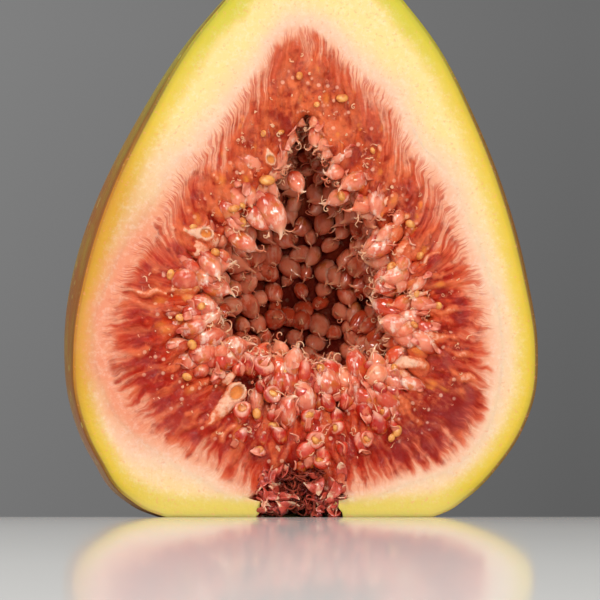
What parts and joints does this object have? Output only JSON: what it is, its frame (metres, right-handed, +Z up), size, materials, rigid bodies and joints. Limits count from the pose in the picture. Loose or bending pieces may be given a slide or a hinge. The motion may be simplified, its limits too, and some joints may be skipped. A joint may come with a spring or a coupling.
{
  "type": "fresh fig",
  "caption": "Fresh fig cut lengthwise, standing on its flat eye end, with a stalk stub, a pale fleshy wall, a red pulp of florets and an open hollow lined with drupelets.",
  "frame": {"origin": "middle of the footprint of the bounding box, on the surface that the fig stands on", "axes": "+Z up through the stalk, the cut face looks along -Y, +X to the right of a viewer who faces the cut"},
  "size_m": [0.05, 0.0312, 0.0685],
  "materials": {
    "rind": "satin green-yellow skin over pale flesh",
    "pulp": "wet, glossy and red, with golden seeds",
    "scales": "satin, dull pink"
  },
  "bodies": {
    "root": {"rind_with_stalk": "rind", "pulp_with_drupelets": "pulp", "eye_scales": "scales"}
  },
  "joints": []
}
